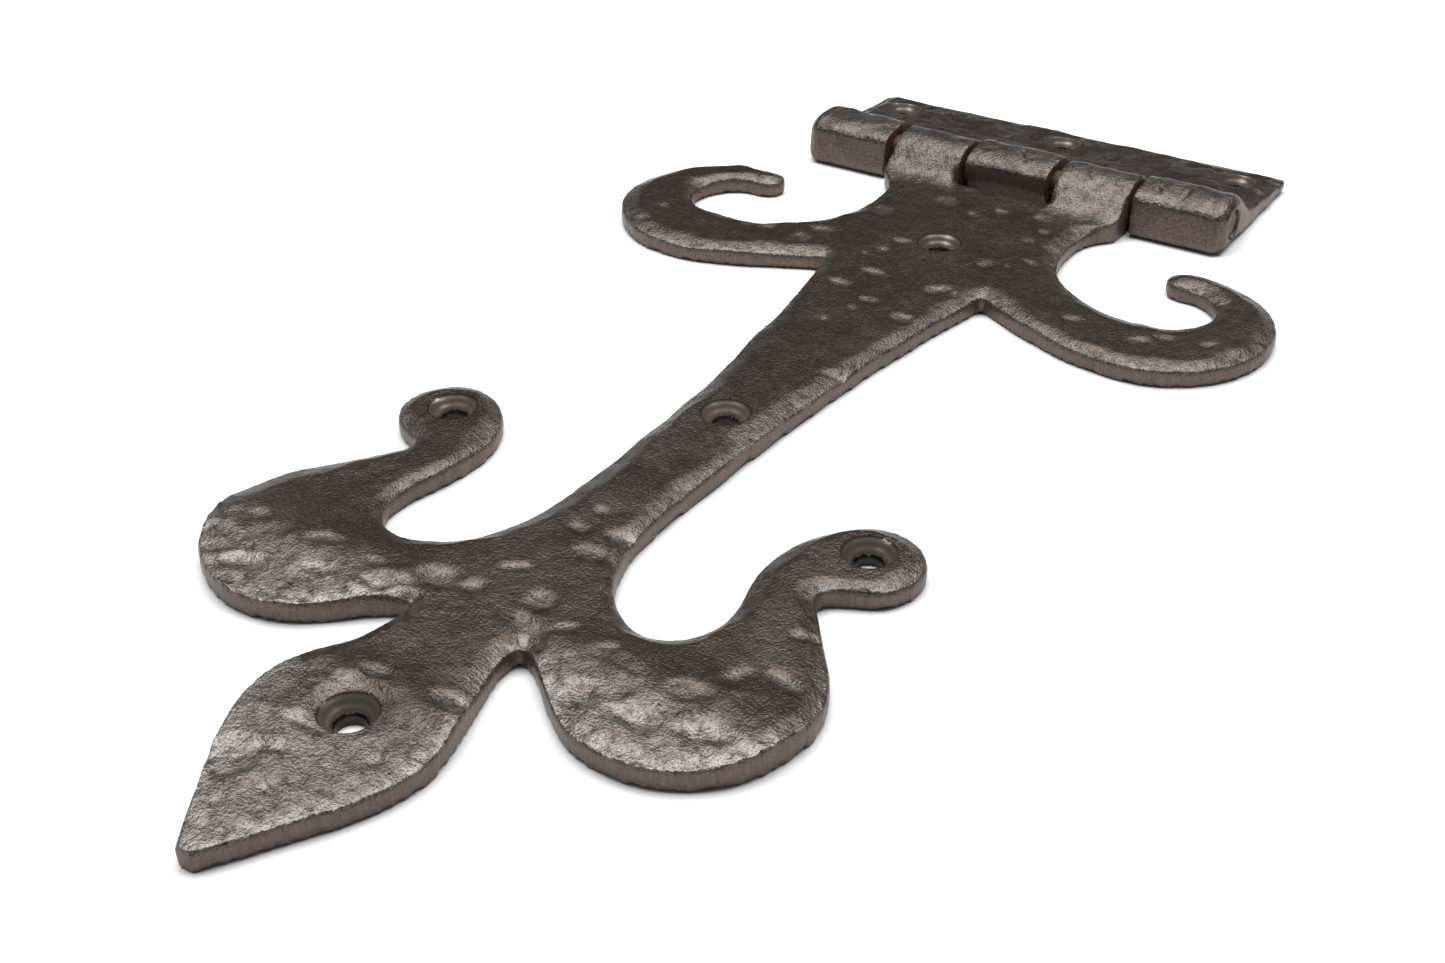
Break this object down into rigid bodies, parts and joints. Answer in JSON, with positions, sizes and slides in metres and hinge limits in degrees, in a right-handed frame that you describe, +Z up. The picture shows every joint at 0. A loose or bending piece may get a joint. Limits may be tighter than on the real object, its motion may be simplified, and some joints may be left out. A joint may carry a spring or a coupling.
{
  "type": "strap hinge",
  "caption": "Forged iron strap hinge: a fleur-de-lis strap with upturned scrolls turns on a riveted pin held in a rectangular jamb plate, all countersunk for screws.",
  "frame": {"origin": "the point of the back plane straight under the pin axis, at the middle of the barrel's length", "axes": "+X along the pin axis, +Y from the barrel toward the far edge of the jamb plate (the strap reaches toward -Y), +Z up out of the back plane that lies on the door and jamb"},
  "size_m": [0.1796, 0.3498, 0.0132],
  "materials": {
    "forged_iron": "hammered, waxed dark brown-grey iron with bright worn edges",
    "pin_iron": "rust-brown riveted pin ends"
  },
  "bodies": {
    "plate": {"jamb_plate": "forged_iron", "hinge_pin": "pin_iron"},
    "strap": {"strap": "forged_iron"}
  },
  "joints": [
    {"name": "strap_swing", "type": "hinge", "parent": "plate", "child": "strap", "pos_m": [0, 0, 0.0065], "axis": [-1, 0, 0], "range_deg": [0, 165]}
  ]
}
